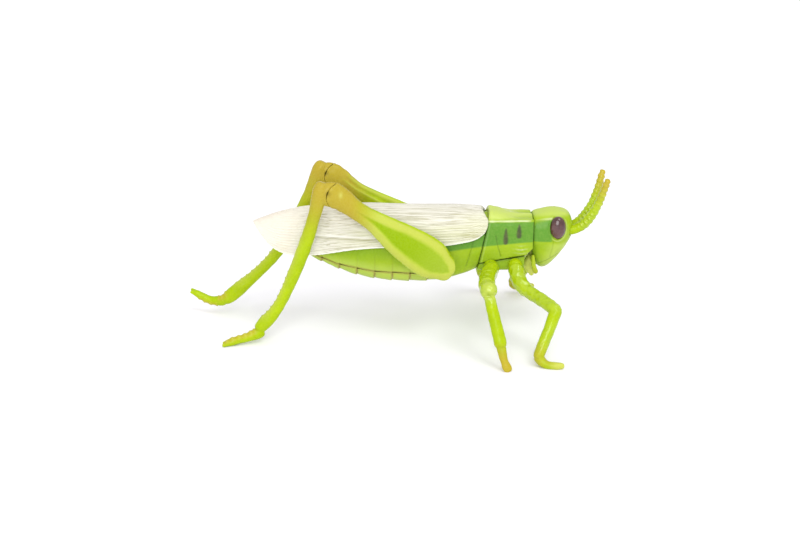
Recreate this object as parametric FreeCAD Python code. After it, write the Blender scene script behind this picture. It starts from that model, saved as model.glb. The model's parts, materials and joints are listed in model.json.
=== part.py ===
"""Snap-together plastic grasshopper figure, built as separate moulded pieces.

Frame: +X to the head, +Y to the figure's left, +Z up. The origin is on the floor,
under the middle of the overall length. Units are millimetres and degrees.
A "side" of +1 is the figure's left and -1 its right. Every part is drawn in its rest pose.
"""

import FreeCAD, Part

import math
import os

V = FreeCAD.Vector
Y_AXIS = V(0, 1, 0)
X_AXIS = V(1, 0, 0)
SIDES = {"left": 1, "right": -1}

# ---- driving dimensions ----
SHIFT_X = 1.4  # moves the drawing so that the overall length is centred on the origin
WALL = 1.5  # moulded wall of the body shells
FIT = 0.05  # radial running clearance of every peg in its socket
GAP = 0.2  # clearance between two moving pieces that face each other
SEAM = 0.06  # gap between two fixed shells along a visible seam

HALF_WIDTH = 6.3  # widest half width of the body
NECK_X = 39.0  # front face of the pronotum
HEAD_REAR = 39.15  # back face of the head
NECK_Z = 31.5  # height of the neck peg's axis
NECK_R = 2.2
PLUG_SEAT_R = 3.6  # the neck plug's flange in the back of the head
WAIST_TOP = (26.0, 39.2)  # (x, z) of the pronotum's slanting rear edge, at the top
WAIST_LOW = (22.6, 20.5)  # and at the bottom
SPLIT_REAR = (22.8, 23.6)  # (x, z) of the seam between pronotum and sternum plate
SPLIT_FRONT = (37.2, 26.3)
POST_X = 31.9  # the sternum plate's locating post
POST_R = 1.4

COXA_R = 1.1  # peg radius of the four walking legs
COXA_PEG = 3.4
COXA_FACE = 6.5  # half width of the sternum plate's flat socket faces
MID_COXA = (26.6, 22.9)  # (x, z) of the peg axes
FORE_COXA = (33.8, 23.5)
FORE_LIFT = {"left": (5.0, 4.0), "right": (0.0, 0.0)}  # degrees out and back, from the standing leg
MID_KNEE_R = 2.55

HIP = (10.5, 24.6)  # (x, z) of the jumping legs' hip axis
HIP_R = 1.8
HIP_BOSS = 8.6  # half width of the body across its hip bosses
FEMUR_MID = 11.1  # middle plane of a jumping leg, from the body's middle plane
KNEE = (-18.0, 45.5)  # (x, z) of the knee pin, with the hip unswung
KNEE_LOBE = 4.2  # radius of the thigh's rounded end, about the pin
KNEE_PIN_R = 0.8
KNEE_PIN_HALF = 1.95
KNEE_TONGUE = 1.5
TONGUE_R = 1.9
TONGUE_SPAN = (150, 190)  # the tongue's neck, in degrees from +X towards +Z
KNEE_RANGE = (-10, 30)
HIP_SWING = {"left": -1.2, "right": 0.0}  # degrees about +Y; the left knee rests a little lower
CLAW = 1.5  # reach of a forked toe's prongs

ANTENNA_BASE = V(49.6, 1.85, 32.9)
ANTENNA_PEG_R = 0.8
EYE = V(46.2, 5.1, 34.6)


# ---- drawing helpers ----
def closed_spline(points):
    """A smooth closed wire through the points."""
    curve = Part.BSplineCurve()
    curve.interpolate(Points=points, PeriodicFlag=True)
    return Part.Wire([curve.toShape()])


def loft(wires, straight=False):
    return Part.makeLoft(wires, True, straight)


def body_ring(x, half):
    """A section of the body at x: half lists (y, z) from the top's middle round to the bottom's."""
    left = [V(x, y, z) for y, z in half]
    right = [V(x, -y, z) for y, z in reversed(half[1:-1])]
    return closed_spline(left + right)


def limb_ring(centre, along, across, height, width):
    """An oval section of a limb, square to along, with its half width on the across side."""
    along = V(along).normalize()
    side = (across - along * across.dot(along)).normalize()
    rise = side.cross(along)
    steps = 12
    points = []
    for k in range(steps):
        angle = 2 * math.pi * k / steps
        points.append(centre + rise * (height * math.cos(angle)) + side * (width * math.sin(angle)))
    return closed_spline(points)


def limb(stations, across=Y_AXIS, straight=False):
    """A limb through stations of (centre, half height, half width), with rounded ends.

    It is smooth all along, or straight from station to station.
    """
    centres = [s[0] for s in stations]
    count = len(stations)
    wires = []
    for k, (centre, height, width) in enumerate(stations):
        before = centres[max(k - 1, 0)]
        after = centres[min(k + 1, count - 1)]
        along = after - before
        if k == 0:
            tip = V(along).normalize() * (0.45 * height)
            wires.append(limb_ring(centre - tip * 1.9, along, across, height * 0.4, width * 0.4))
            wires.append(limb_ring(centre - tip * 1.2, along, across, height * 0.82, width * 0.82))
        wires.append(limb_ring(centre, along, across, height, width))
        if k == count - 1:
            tip = V(along).normalize() * (0.45 * height)
            wires.append(limb_ring(centre + tip * 1.2, along, across, height * 0.82, width * 0.82))
            wires.append(limb_ring(centre + tip * 1.9, along, across, height * 0.4, width * 0.4))
    return loft(wires, straight)


def peg(start, along, radius, length, nose=0.35):
    """A round peg with a chamfered nose at its far end."""
    along = V(along).normalize()
    shaft = Part.makeCylinder(radius, length - nose, start, along)
    return shaft.fuse(Part.makeCone(radius, radius - nose, nose, start + along * (length - nose), along))


def side_prism(outline, y_low, y_high):
    """The outline, a list of (x, z), as a slab from y_low to y_high."""
    points = [V(x, y_low, z) for x, z in outline]
    face = Part.Face(Part.makePolygon(points + points[:1]))
    return face.extrude(V(0, y_high - y_low, 0))


def sector(centre, radius, angles, y_low, y_high):
    """A slice of a cylinder about Y, between two angles from +X towards +Z."""
    x, z = centre
    first, last = (math.radians(a) for a in angles)
    rim = []
    for k in range(9):
        angle = first + (last - first) * k / 8
        rim.append((x + 1.3 * radius * math.cos(angle), z + 1.3 * radius * math.sin(angle)))
    fan = side_prism([centre] + rim, y_low, y_high)
    return fan.common(Part.makeCylinder(radius, y_high - y_low, V(x, y_low, z), Y_AXIS))


def mirrored(shape, side):
    """Shapes are drawn on the left, and mirrored for the right."""
    if side > 0:
        return shape
    return shape.mirror(V(0, 0, 0), Y_AXIS)


def at_height(line, z):
    """x on the straight line through two (x, z) points, at height z."""
    (xa, za), (xb, zb) = line
    return xa + (xb - xa) * (z - za) / (zb - za)


def solid_of(shape):
    """The one solid of a boolean's result. A piece in two halves is a mistake."""
    if len(shape.Solids) != 1:
        volumes = [round(s.Volume, 2) for s in shape.Solids]
        raise ValueError(f"{len(shape.Solids)} solids, volumes {volumes}")
    return shape.Solids[0]


# ---- thorax ----
def thorax_half(crown, keel, inset=0.0):
    """Half section of the thorax: crown is the ridge's height, keel the height of its side edge."""
    w = HALF_WIDTH - inset
    return [
        (0, crown - inset),
        (0.45 * w, crown - 0.35 - inset),
        (0.8 * w, keel + 0.45 - inset),
        (0.9 * w, keel - 0.9 - inset * 0.6),
        (0.96 * w, 32.0),
        (1.0 * w, 28.0),
        (0.99 * w, 24.6),
        (0.93 * w, 21.9 + inset * 0.5),
        (0.7 * w, 21.0 + inset),
        (0, 20.8 + inset),
    ]


THORAX_STATIONS = [  # (x, crown height, keel height)
    (19.0, 38.1, 36.0),
    (23.5, 38.6, 36.2),
    (27.3, 39.1, 36.4),
    (31.0, 38.3, 36.4),
    (35.0, 37.5, 36.4),
    (NECK_X, 37.3, 36.3),
]


def thorax_block(inset=0.0, front=NECK_X):
    """The whole thorax without its seams; an inset gives the shape of its hollow."""
    wires = []
    for x, crown, keel in THORAX_STATIONS:
        wires.append(body_ring(min(x, front), thorax_half(crown, keel, inset)))
    return loft(wires)


def waist_cutter(offset):
    """Everything behind the pronotum's slanting rear edge, moved forward by offset."""
    line = (WAIST_TOP, WAIST_LOW)
    top, low = 45.0, 15.0
    outline = [
        (at_height(line, top) + offset, top),
        (at_height(line, low) + offset, low),
        (-60.0, low),
        (-60.0, top),
    ]
    return side_prism(outline, -12, 12)


def split_cutter(offset):
    """Everything below the seam over the sternum plate, moved up by offset."""
    slope = (SPLIT_FRONT[1] - SPLIT_REAR[1]) / (SPLIT_FRONT[0] - SPLIT_REAR[0])
    rear_x, front_x = 10.0, SPLIT_FRONT[0]
    rear_z = SPLIT_REAR[1] + slope * (rear_x - SPLIT_REAR[0]) + offset
    front_z = SPLIT_FRONT[1] + offset
    corner = (NECK_X + 0.6, front_z + 2.6)
    outline = [(rear_x, rear_z), (front_x, front_z), corner, (corner[0], 10.0), (rear_x, 10.0)]
    return side_prism(outline, -12, 12)


def pronotum_shell():
    shell = thorax_block().cut(thorax_block(WALL, NECK_X - WALL))
    shell = shell.cut(waist_cutter(0)).cut(split_cutter(SEAM / 2))
    neck = Part.makeCylinder(NECK_R + FIT, 6, V(NECK_X - 4, 0, NECK_Z), X_AXIS)
    shell = shell.cut(neck)
    boss = Part.makeCylinder(POST_R + 0.9, 12, V(POST_X, 0, 28.5)).common(thorax_block(WALL * 0.5))
    bore = Part.makeCylinder(POST_R + FIT, 6.0, V(POST_X, 0, 28.0))
    return solid_of(shell.fuse(boss).cut(bore))


def sternum_plate():
    """The floor of the thorax. It carries the sockets of the four walking legs."""
    block = thorax_block().common(split_cutter(-SEAM / 2)).cut(waist_cutter(SEAM))
    nose = side_prism([(37.0, 30), (36.4, 19), (45, 19), (45, 30)], -12, 12)
    plate = block.cut(nose)
    for x, z in (MID_COXA, FORE_COXA):
        cheek = Part.makeCylinder(2.15, 2 * COXA_FACE, V(x, -COXA_FACE, z), Y_AXIS)
        plate = plate.fuse(cheek.common(split_cutter(-SEAM / 2)))
    key = Part.makeBox(12.0, 6.4, 3.0, V(24.4, -3.2, 22.5))
    plate = plate.fuse(key).fuse(peg(V(POST_X, 0, 25.0), V(0, 0, 1), POST_R, 7.5))
    for x, z in (MID_COXA, FORE_COXA):
        for side in SIDES.values():
            mouth = V(x, side * (COXA_FACE + 1), z)
            plate = plate.cut(Part.makeCylinder(COXA_R + FIT, COXA_PEG + 1.3, mouth, Y_AXIS * -side))
    return solid_of(plate)


# ---- abdomen ----
ABDOMEN_STATIONS = [  # (x, top, bottom, half width)
    (27.0, 36.6, 22.4, 6.15),
    (20.5, 36.8, 19.6, 6.2),
    (13.0, 36.7, 17.2, 6.3),
    (5.0, 36.3, 16.4, 6.3),
    (-2.0, 35.7, 16.5, 6.1),
    (-9.0, 34.8, 17.3, 5.7),
    (-16.0, 33.6, 19.1, 5.0),
    (-22.0, 32.4, 21.5, 4.1),
    (-27.0, 31.2, 23.9, 3.0),
    (-30.5, 30.0, 26.1, 1.8),
    (-32.0, 29.2, 27.3, 0.9),
]
BELLY_LINE = [  # (x, z) of the seam along the belly plate
    (13.0, 14.0),
    (11.0, 19.9),
    (3.5, 20.1),
    (-7.4, 20.5),
    (-13.5, 21.3),
    (-19.0, 22.5),
    (-26.4, 25.2),
    (-34.0, 28.4),
]


def abdomen_half(top, low, width):
    tall = top - low
    shape = [
        (0, 0),
        (0.5, 0.05),
        (0.84, 0.2),
        (1.0, 0.48),
        (0.97, 0.72),
        (0.74, 0.91),
        (0.4, 0.985),
        (0, 1),
    ]
    return [(width * y, top - tall * z) for y, z in shape]


def abdomen_block(inset=0.0):
    wires = []
    for x, top, low, width in ABDOMEN_STATIONS:
        if inset and width < 2.5:
            continue
        wires.append(body_ring(x, abdomen_half(top - inset, low + inset, width - inset)))
    return loft(wires)


def belly_cutter(offset):
    """Everything below the belly seam, moved up by offset."""
    edge = [(x, z + offset) for x, z in BELLY_LINE]
    return side_prism(edge + [(-34.0, 5.0), (13.0, 5.0)], -12, 12)


def abdomen_shell():
    """The rear body: its spigot plugs into the pronotum, and its bosses carry the hips."""
    shell = abdomen_block().common(waist_cutter(-SEAM))
    spigot = thorax_block(WALL + 0.08).common(waist_cutter(3.4)).cut(split_cutter(2.0))
    spigot = spigot.cut(side_prism([(5, 10), (21.5, 10), (21.5, 45), (5, 45)], -12, 12))
    shell = shell.fuse(spigot)
    hollow = abdomen_block(WALL).cut(side_prism([(22.0, 10), (22.0, 45), (40, 45), (40, 10)], -12, 12))
    shell = shell.cut(hollow).cut(belly_cutter(SEAM / 2))
    hip_x, hip_z = HIP
    for side in SIDES.values():
        start = V(hip_x, side * 3.4, hip_z)
        boss = Part.makeCylinder(3.3, HIP_BOSS - 3.4, start, Y_AXIS * side)
        shell = shell.fuse(boss)
    for side in SIDES.values():
        mouth = V(hip_x, side * (HIP_BOSS + 1), hip_z)
        shell = shell.cut(Part.makeCylinder(HIP_R + FIT, 5.8, mouth, Y_AXIS * -side))
        wing_slot = Part.makeCylinder(0.9 + FIT, 4.0, V(18.6, side * 8, 33.2), Y_AXIS * -side)
        shell = shell.cut(wing_slot)
    for x, roof in ((4.0, 35.5), (-12.0, 33.4)):
        shell = shell.fuse(Part.makeCylinder(1.9, roof - 23.0, V(x, 0, 23.0)))
        shell = shell.cut(Part.makeCylinder(1.0 + FIT, 5.0, V(x, 0, 22.9)))
    return solid_of(shell)


def belly_plate():
    """The ribbed floor of the abdomen, with two posts that plug in above."""
    plate = abdomen_block().common(belly_cutter(-SEAM / 2)).common(waist_cutter(-SEAM))
    plate = plate.cut(abdomen_block(WALL))
    for x, floor in ((4.0, 17.0), (-12.0, 18.6)):
        plate = plate.fuse(Part.makeCylinder(1.8, 22.8 - floor, V(x, 0, floor)))
        plate = plate.fuse(peg(V(x, 0, 22.5), V(0, 0, 1), 1.0, 4.6))
    return solid_of(plate)


# ---- wings ----
WING_RIDGE = [  # (x, z) of the wing's top edge, over the body's middle
    (27.0, 38.8),
    (22.6, 39.3),
    (17.0, 39.6),
    (5.0, 39.5),
    (-9.0, 39.7),
    (-22.0, 39.2),
    (-30.6, 38.3),
    (-38.1, 36.4),
    (-46.0, 33.6),
]
WING_OUTLINE = [  # (x, z) round the wing's side, from the nose back along the low edge to the tip
    (25.4, 37.0),
    (25.1, 34.8),
    (22.6, 32.0),
    (17.5, 30.3),
    (12.5, 29.4),
    (2.0, 28.9),
    (-8.0, 28.5),
    (-16.0, 27.6),
    (-24.0, 26.0),
    (-30.0, 25.4),
    (-35.5, 26.0),
    (-39.6, 28.8),
    (-42.0, 31.7),
    (-44.2, 34.6),
]
WING_THICK = 0.8


def wing_reach(x):
    """Half width of the folded wings: full beside the body, and closing behind it."""
    if x > -14:
        return 7.7
    return 7.7 - 5.2 * ((-14 - x) / 32) ** 1.5


def wing_section(x, ridge):
    """A thin roof-shaped section, from the middle ridge out and down past the low edge."""
    wires = []
    for depth in (0.0, WING_THICK):
        reach = wing_reach(x) - depth
        drop = 16.0
        top = ridge - depth
        points = [
            V(x, 0.12, top),
            V(x, reach * 0.42, top - 0.5),
            V(x, reach * 0.76, top - 2.1),
            V(x, reach * 0.95, top - 4.9),
            V(x, reach, top - 9.0),
            V(x, reach - 0.25, top - drop),
        ]
        curve = Part.BSplineCurve()
        curve.interpolate(points)
        wires.append(curve)
    outer, inner = (c.toShape() for c in wires)
    ends = [outer.Vertexes, inner.Vertexes]
    top_edge = Part.LineSegment(ends[0][0].Point, ends[1][0].Point).toShape()
    low_edge = Part.LineSegment(ends[0][-1].Point, ends[1][-1].Point).toShape()
    return Part.Wire([outer, low_edge, inner, top_edge])


def wing(side):
    roof = loft([wing_section(x, z) for x, z in WING_RIDGE])
    edge = Part.BSplineCurve()
    edge.interpolate([V(x, -1, z) for x, z in WING_OUTLINE])
    start, end = V(25.4, -1, 37.0), V(-44.2, -1, 34.6)
    back = Part.BSplineCurve()
    back.interpolate([end, V(-38.1, -1, 37.3), V(-30, -1, 45), V(15, -1, 45), V(22.6, -1, 40.2), start])
    face = Part.Face(Part.Wire([edge.toShape(), back.toShape()]))
    panel = roof.common(face.extrude(V(0, 12, 0)))
    root = Part.makeCylinder(0.9, 2.6, V(18.6, 5.0, 33.2), Y_AXIS)
    return mirrored(solid_of(panel.fuse(root)), side)


# ---- head ----
HEAD_STATIONS = [  # (x, top, bottom, half width)
    (HEAD_REAR, 37.5, 25.2, 5.4),
    (40.4, 38.3, 22.4, 5.9),
    (42.2, 38.8, 20.9, 6.1),
    (44.6, 39.2, 22.0, 6.1),
    (47.0, 39.1, 24.6, 5.7),
    (49.0, 38.6, 27.4, 4.7),
    (50.3, 37.4, 29.6, 3.4),
    (51.1, 35.2, 31.6, 1.7),
]


def head_half(top, low, width):
    tall = top - low
    shape = [
        (0, 0),
        (0.48, 0.03),
        (0.82, 0.14),
        (0.96, 0.32),
        (1.0, 0.5),
        (0.9, 0.72),
        (0.62, 0.91),
        (0.32, 0.98),
        (0, 1),
    ]
    return [(width * y, top - tall * z) for y, z in shape]


def head_block(inset=0.0):
    stations = HEAD_STATIONS if not inset else HEAD_STATIONS[:6]
    return loft([body_ring(x, head_half(t - inset, b + inset, w - inset)) for x, t, b, w in stations])


def eye_ball(side, grow=0.0):
    ball = Part.makeSphere(1.0)
    matrix = FreeCAD.Matrix()
    matrix.scale(2.4 + grow, 1.75 + grow, 3.5 + grow)
    ball = ball.transformGeometry(matrix)
    ball.translate(V(EYE.x, side * EYE.y, EYE.z))
    return ball


def head_shell():
    shell = head_block().cut(head_block(WALL))
    seat = Part.makeCylinder(PLUG_SEAT_R, 2.6, V(HEAD_REAR, 0, NECK_Z), X_AXIS)
    rim = Part.makeCylinder(PLUG_SEAT_R + 0.7, 3.2, V(HEAD_REAR, 0, NECK_Z), X_AXIS).common(head_block())
    chin = Part.makeBox(3.0, 6.0, 3.4, V(HEAD_REAR, -3.0, 24.9)).common(head_block())
    slot = Part.makeBox(1.8, 4.0, 2.15, V(HEAD_REAR - 0.2, -2.0, 24.9))
    shell = shell.fuse(rim).fuse(chin).cut(seat).cut(slot)
    for side in SIDES.values():
        shell = shell.cut(eye_ball(side))
        base = V(ANTENNA_BASE.x, side * ANTENNA_BASE.y, ANTENNA_BASE.z)
        boss = Part.makeCylinder(1.45, 3.4, base - X_AXIS * 2.6, X_AXIS)
        shell = shell.fuse(boss.common(head_block(WALL * 0.3)))
        recess = Part.makeCylinder(1.75, 4, base, X_AXIS)
        socket = Part.makeCylinder(ANTENNA_PEG_R + FIT, 3.2, base - X_AXIS * 1.5, X_AXIS)
        shell = shell.cut(recess).cut(socket)
    return solid_of(shell)


def neck_plug():
    """Closes the back of the head, and snaps through the pronotum's front wall."""
    flange = Part.makeCylinder(PLUG_SEAT_R - 0.02, 2.4, V(HEAD_REAR + 0.1, 0, NECK_Z), X_AXIS)
    shaft = Part.makeCylinder(NECK_R, 4.6, V(HEAD_REAR - 4.4, 0, NECK_Z), X_AXIS)
    barb_x = NECK_X - WALL - GAP
    barb = Part.makeCone(NECK_R - 0.5, NECK_R + 0.45, 1.6, V(barb_x - 1.6, 0, NECK_Z), X_AXIS)
    return solid_of(flange.fuse(shaft).fuse(barb))


def eye(side):
    socket = eye_ball(side)
    return solid_of(socket.cut(head_block(WALL * 0.9)))


def mouthparts():
    """The bar behind the jaw, with a palp at each side and the lip in the middle."""
    rear = HEAD_REAR - 0.3
    piece = Part.makeBox(1.0, 9.0, 1.7, V(rear, -4.5, 23.7))
    for side in SIDES.values():
        y = side * 4.4
        piece = piece.fuse(limb([
            (V(39.45, y, 25.4), 0.5, 0.5),
            (V(39.5, y, 24.0), 0.6, 0.6),
            (V(39.75, y * 0.99, 22.2), 0.75, 0.65),
            (V(40.5, y * 0.95, 20.4), 0.7, 0.55),
        ]))
    piece = piece.fuse(limb([
        (V(39.3, 0, 24.6), 0.7, 1.2),
        (V(38.7, 0, 22.5), 1.35, 1.1),
        (V(38.9, 0, 20.4), 1.4, 1.0),
        (V(39.8, 0, 18.4), 0.8, 0.7),
    ]))
    piece = piece.cut(head_block(-SEAM))
    tenon = Part.makeBox(1.6, 3.9, 2.0, V(rear, -1.95, 24.95))
    return solid_of(piece.fuse(tenon))


def antenna(side):
    base = ANTENNA_BASE
    stations = [
        (base + V(0.75, 0, 0), 1.45, 1.45),
        (V(52.2, 1.95, 33.45), 1.48, 1.4),
        (V(54.9, 2.35, 35.7), 1.55, 1.45),
        (V(57.1, 2.9, 39.3), 1.35, 1.3),
        (V(58.5, 3.6, 43.0), 1.2, 1.15),
        (V(59.5, 4.3, 46.7), 1.05, 1.0),
        (V(60.1, 4.8, 49.0), 0.9, 0.9),
    ]
    rod = limb(stations)
    flat = Part.makeBox(3, 4, 4, V(base.x - 3 + GAP, base.y - 2, base.z - 2))
    rod = rod.cut(flat)
    stem = peg(base + V(GAP + 0.3, 0, 0), -X_AXIS, ANTENNA_PEG_R, 1.7)
    return mirrored(solid_of(rod.fuse(stem)), side)


# ---- walking legs ----
def coxa_root(x, z):
    """The round shoulder that lies against the sternum plate, with its peg."""
    face = COXA_FACE + GAP
    shoulder = Part.makeCylinder(2.2, 1.1, V(x, face, z), Y_AXIS)
    dome = Part.makeSphere(2.2, V(x, face + 1.1, z))
    shoulder = shoulder.fuse(dome.cut(Part.makeBox(6, 3, 6, V(x - 3, face - 3, z - 3))))
    return shoulder.fuse(peg(V(x, face + 0.3, z), -Y_AXIS, COXA_R, GAP + 0.3 + COXA_PEG))


def on_floor(shape):
    """Cuts a foot's sole flat at the floor."""
    return shape.cut(Part.makeBox(60, 60, 10, V(10, 5, -10)))


def mid_leg(side):
    x, z = MID_COXA
    leg = coxa_root(x, z)
    thigh = limb([
        (V(x, 8.9, z), 2.3, 2.3),
        (V(25.4, 12.5, 22.3), 2.45, 2.5),
        (V(24.5, 18.0, 21.7), 2.3, 2.45),
        (V(24.3, 22.0, 21.3), 2.0, 2.2),
    ], X_AXIS)
    shin = limb([
        (V(24.6, 22.9, 20.3), 1.6, 1.65),
        (V(26.3, 26.3, 14.0), 1.65, 1.75),
        (V(28.0, 29.5, 7.6), 1.75, 1.85),
    ], X_AXIS, straight=True)
    foot = limb([
        (V(27.8, 29.0, 8.4), 1.1, 1.2),
        (V(28.7, 30.6, 4.4), 1.15, 1.25),
        (V(29.3, 31.3, 2.4), 1.05, 1.2),
        (V(30.2, 32.0, 0.6), 0.9, 1.3),
    ], X_AXIS)
    knee = Part.makeSphere(MID_KNEE_R, V(24.6, 22.3, 21.3))
    return mirrored(solid_of(on_floor(leg.fuse(thigh).fuse(knee).fuse(shin).fuse(foot))), side)


def fore_leg(name, side):
    """A fore leg. The left one is held a little out and back, with its foot off the floor."""
    x, z = FORE_COXA
    thigh = limb([
        (V(x, 8.9, z - 0.6), 2.25, 2.25),
        (V(34.6, 11.0, 20.6), 2.3, 2.3),
        (V(37.7, 15.0, 17.8), 1.95, 1.95),
        (V(41.4, 19.0, 16.6), 1.9, 1.9),
        (V(44.3, 22.0, 15.3), 1.85, 1.85),
    ], V(0, 0.6, -0.8))
    shin = limb([
        (V(44.5, 22.3, 15.0), 1.85, 1.85),
        (V(42.9, 24.4, 11.2), 1.75, 1.75),
        (V(41.2, 26.1, 7.3), 1.7, 1.7),
        (V(39.5, 27.8, 3.4), 1.65, 1.65),
    ], Y_AXIS, straight=True)
    foot = limb([
        (V(39.6, 27.9, 2.3), 1.5, 1.5),
        (V(41.6, 29.2, 1.0), 1.2, 1.25),
        (V(43.8, 29.9, 0.9), 1.1, 1.15),
        (V(46.0, 30.1, 1.0), 0.85, 0.9),
    ], V(0, 0.3, -1))
    leg = on_floor(thigh.fuse(shin).fuse(foot))
    out, back = FORE_LIFT[name]
    leg.rotate(V(x, 8.0, z), Y_AXIS, back)
    leg.rotate(V(x, 8.0, z), X_AXIS, out)
    return mirrored(solid_of(leg.fuse(coxa_root(x, z))), side)


# ---- jumping legs ----
def swung(shape, name):
    """Turns a piece of a jumping leg, drawn with the hip unswung, to its resting place."""
    shape.rotate(V(HIP[0], 0, HIP[1]), Y_AXIS, HIP_SWING[name])
    return shape


def hind_femur(name, side):
    """The thigh: a flat drumstick with a hip peg inside, and a slot in its knee end for the tongue."""
    y = FEMUR_MID
    stations = [  # (x, z, half height, half thickness)
        (11.9, 24.2, 4.4, 1.75),
        (10.0, 25.4, 5.5, 2.1),
        (6.2, 28.0, 6.1, 2.25),
        (1.0, 31.5, 5.5, 2.2),
        (-4.2, 35.1, 4.3, 2.1),
        (-9.0, 38.5, 3.1, 2.0),
        (-14.0, 41.7, 2.85, 2.0),
        (-18.5, 45.0, 3.55, 2.05),
        (-21.6, 46.4, 3.85, 2.05),
    ]
    thigh = limb([(V(x, y, z), height, width) for x, z, height, width in stations])
    beyond = sector(KNEE, 12, (90, 246), y - 3, y + 3)
    femur = thigh.cut(beyond.cut(Part.makeCylinder(KNEE_LOBE, 6, V(KNEE[0], y - 3, KNEE[1]), Y_AXIS)))
    half = KNEE_TONGUE / 2 + 0.1
    femur = femur.cut(Part.makeCylinder(TONGUE_R + GAP, 2 * half, V(KNEE[0], y - half, KNEE[1]), Y_AXIS))
    swing = (TONGUE_SPAN[0] - KNEE_RANGE[1] - 3, TONGUE_SPAN[1] - KNEE_RANGE[0] + 3)
    femur = femur.cut(sector(KNEE, KNEE_LOBE + 1, swing, y - half, y + half))
    femur = femur.cut(Part.makeCylinder(KNEE_PIN_R + 0.01, 6, V(KNEE[0], y - 3, KNEE[1]), Y_AXIS))
    face = HIP_BOSS + GAP
    pad = Part.makeCylinder(2.6, y - face, V(HIP[0], face, HIP[1]), Y_AXIS)
    stem = peg(V(HIP[0], face + 0.5, HIP[1]), -Y_AXIS, HIP_R, GAP + 0.5 + 4.5)
    return mirrored(swung(solid_of(femur.fuse(pad).fuse(stem)), name), side)


def knee_pin(name, side):
    start = V(KNEE[0], FEMUR_MID - KNEE_PIN_HALF, KNEE[1])
    shaft = Part.makeCylinder(KNEE_PIN_R, 2 * KNEE_PIN_HALF, start, Y_AXIS)
    return mirrored(swung(shaft, name), side)


SHIN = {  # rest line of each shin and foot as (x, z, half height, half thickness)
    "right": [
        (-23.8, 48.0, 2.1, 1.95),
        (-24.9, 43.0, 2.0, 1.9),
        (-28.0, 31.5, 1.95, 1.85),
        (-32.8, 18.4, 1.75, 1.75),
        (-37.6, 9.1, 1.8, 1.75),
        (-41.2, 5.0, 1.85, 1.75),
    ],
    "left": [
        (-23.9, 47.7, 2.1, 1.95),
        (-25.8, 42.7, 2.0, 1.9),
        (-30.4, 32.0, 1.95, 1.85),
        (-37.3, 20.0, 1.7, 1.75),
        (-45.9, 10.9, 1.85, 1.75),
        (-52.2, 5.3, 1.9, 1.75),
    ],
}
KNEE_BLOCK = [  # the shin's head where it wraps round the end of the thigh, in the same form
    (-23.4, 46.5, 3.1, 1.95),
    (-22.0, 46.25, 3.6, 2.0),
    (-20.2, 45.95, 3.75, 2.0),
]
FOOT = {
    "right": [
        (-41.6, 11.2, 3.0, 1.6, 1.5),
        (-44.8, 12.2, 2.1, 1.35, 1.3),
        (-48.2, 13.3, 1.4, 1.2, 1.2),
        (-50.6, 14.0, 0.9, 1.0, 1.15),
    ],
    "left": [
        (-53.6, 11.1, 4.5, 1.5, 1.4),
        (-56.8, 11.6, 4.4, 1.3, 1.25),
        (-60.2, 12.2, 5.6, 1.2, 1.15),
        (-61.8, 12.4, 6.4, 1.0, 1.1),
    ],
}


def claw(toe, before, side):
    """One prong of a forked toe, pointing on from the toe and to the given side."""
    ahead = (toe - before).normalize()
    root = toe + V(0, 0.45 * side, 0)
    tip = toe + ahead * CLAW + V(0, 0.95 * side, 0)
    return limb([(root, 0.75, 0.6), ((root + tip) * 0.5, 0.7, 0.55), (tip, 0.55, 0.45)])


def hind_tibia(name, side):
    """The shin and foot, with a tongue that turns in the slot of the thigh."""
    y = FEMUR_MID
    shin = limb([(V(x, y, z), height, width) for x, z, height, width in SHIN[name]])
    foot = limb([(V(x, fy, z), height, width) for x, fy, z, height, width in FOOT[name]])
    toe, before = (V(x, fy, z) for x, fy, z, _, _ in (FOOT[name][-1], FOOT[name][-2]))
    block = limb([(V(x, y, z), height, width) for x, z, height, width in KNEE_BLOCK])
    shin = shin.fuse(swung(block, name)).fuse(foot)
    for prong in (-1, 1):
        shin = shin.fuse(claw(toe, before, prong))
    shin = shin.cut(swung(Part.makeCylinder(KNEE_LOBE + GAP, 6, V(KNEE[0], y - 3, KNEE[1]), Y_AXIS), name))
    half = KNEE_TONGUE / 2
    tongue = Part.makeCylinder(TONGUE_R, 2 * half, V(KNEE[0], y - half, KNEE[1]), Y_AXIS)
    neck = sector(KNEE, KNEE_LOBE + 1, TONGUE_SPAN, y - half, y + half)
    shin = shin.fuse(swung(tongue, name)).fuse(swung(neck, name))
    shin = shin.cut(swung(Part.makeCylinder(KNEE_PIN_R + FIT, 6, V(KNEE[0], y - 3, KNEE[1]), Y_AXIS), name))
    shin = shin.cut(Part.makeBox(60, 30, 10, V(-70, 0, -10)))
    return mirrored(solid_of(shin), side)


# ---- build ----
def all_parts():
    parts = {
        "pronotum_shell": pronotum_shell(),
        "sternum_plate": sternum_plate(),
        "abdomen_shell": abdomen_shell(),
        "belly_plate": belly_plate(),
        "head_shell": head_shell(),
        "neck_plug": neck_plug(),
        "mouthparts": mouthparts(),
    }
    for name, side in SIDES.items():
        parts["wing_" + name] = wing(side)
        parts["eye_" + name] = eye(side)
        parts["antenna_" + name] = antenna(side)
        parts["fore_leg_" + name] = fore_leg(name, side)
        parts["mid_leg_" + name] = mid_leg(side)
        parts["hind_femur_" + name] = hind_femur(name, side)
        parts["hind_tibia_" + name] = hind_tibia(name, side)
        parts["knee_pin_" + name] = knee_pin(name, side)
    return parts


os.makedirs("parts", exist_ok=True)
for node, shape in all_parts().items():
    shape.translate(V(SHIFT_X, 0, 0))
    print(f"{node}: valid {shape.isValid()}, solids {len(shape.Solids)}, volume {shape.Volume:.1f} mm3")
    shape.exportStep(f"parts/{node}.step")
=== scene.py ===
import json
import math

import bmesh
import bpy
import numpy as np
from mathutils import Matrix, Vector


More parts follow.
